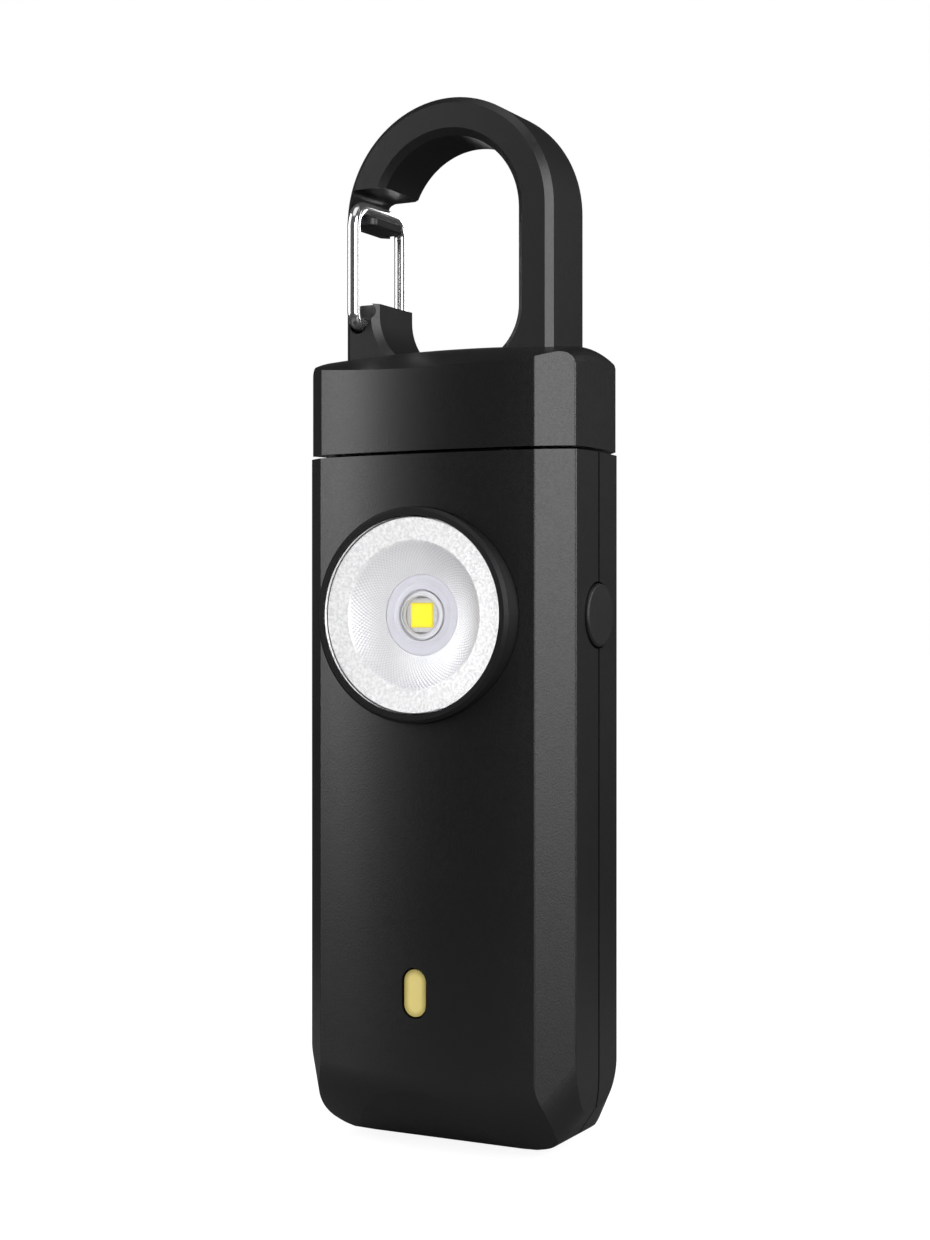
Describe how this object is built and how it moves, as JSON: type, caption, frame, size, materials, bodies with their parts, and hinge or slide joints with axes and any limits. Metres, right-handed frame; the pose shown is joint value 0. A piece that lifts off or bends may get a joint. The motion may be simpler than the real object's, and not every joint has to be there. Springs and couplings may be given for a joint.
{
  "type": "personal safety alarm",
  "caption": "Keyring-size personal alarm with a pull-off carabiner cap and trip pin, torch, side button, indicator light and rear siren.",
  "frame": {"origin": "middle of the box around the alarm, on the level of the lowest point of its rounded base", "axes": "+Z from the base up to the carabiner, -Y out of the torch, +X towards the side button"},
  "size_m": [0.0317, 0.0202, 0.1103],
  "materials": {
    "housing_black": "fine spark-eroded grain, matt black",
    "bezel_black": "finer grain, satin black",
    "button_black": "satin black",
    "screw_steel": "zinc plated",
    "clear_lens": "clear polished plastic",
    "clear_dome": "clear silicone",
    "satin_reflector": "white silvered dish with fine faceting",
    "led_package": "white ceramic package",
    "yellow_phosphor": "yellow phosphor",
    "white_board": "white solder mask",
    "pin_metal": "bright steel",
    "amber_window": "translucent amber light pipe",
    "switch_body": "black moulding",
    "green_board": "green solder mask",
    "pouch_foil": "laminated foil",
    "red_wire": "flexible insulation",
    "black_wire": "flexible insulation",
    "inner_plastic": "plain black moulding",
    "disc_brass": "bright brass",
    "ceramic_white": "silvered ceramic",
    "mesh_fabric": "woven dust cloth",
    "coil_dark": "ferrite drum",
    "chip_black": "moulded package",
    "port_steel": "drawn steel shell",
    "gate_chrome": "polished steel wire"
  },
  "bodies": {
    "housing": {"front_shell": "housing_black", "rear_shell": "housing_black", "lens_bezel": "bezel_black", "case_screws": "screw_steel", "lens": "clear_lens", "reflector": "satin_reflector", "collimator_ring": "clear_lens", "led_dome": "clear_dome", "led_emitter": "led_package", "led_die": "yellow_phosphor", "led_board": "white_board", "led_pins": "pin_metal", "indicator_window": "amber_window", "indicator_led": "led_package", "button_switch": "switch_body", "main_board": "green_board", "battery_cell": "pouch_foil", "battery_leads": "red_wire", "siren_leads": "black_wire", "siren_cup": "inner_plastic", "siren_disc": "disc_brass", "siren_ceramic": "ceramic_white", "dust_mesh": "mesh_fabric", "step_up_coil": "coil_dark", "control_chip": "chip_black", "charge_port": "port_steel", "pin_socket": "inner_plastic", "contact_leaf": "disc_brass"},
    "cap": {"carabiner_cap": "housing_black", "cap_insert": "inner_plastic", "cap_screws": "screw_steel", "trip_pin": "pin_metal"},
    "gate": {"gate_wire": "gate_chrome"},
    "button": {"side_button": "button_black", "switch_plunger": "switch_body"}
  },
  "joints": [
    {"name": "cap_pull", "type": "slide", "parent": "housing", "child": "cap", "axis": [0, 0, 1], "range_m": [0, 0.02]},
    {"name": "gate_hinge", "type": "hinge", "parent": "cap", "child": "gate", "pos_m": [-0.0106, 0.00191, 0.0871], "axis": [0, 1, 0], "range_deg": [0, 35], "stiffness_Nm_per_rad": 0.02, "springref_deg": -8.59},
    {"name": "button_press", "type": "slide", "parent": "housing", "child": "button", "axis": [-1, 0, 0], "range_m": [0, 0.0005], "stiffness_N_per_m": 1500, "springref_m": -0.0002}
  ]
}
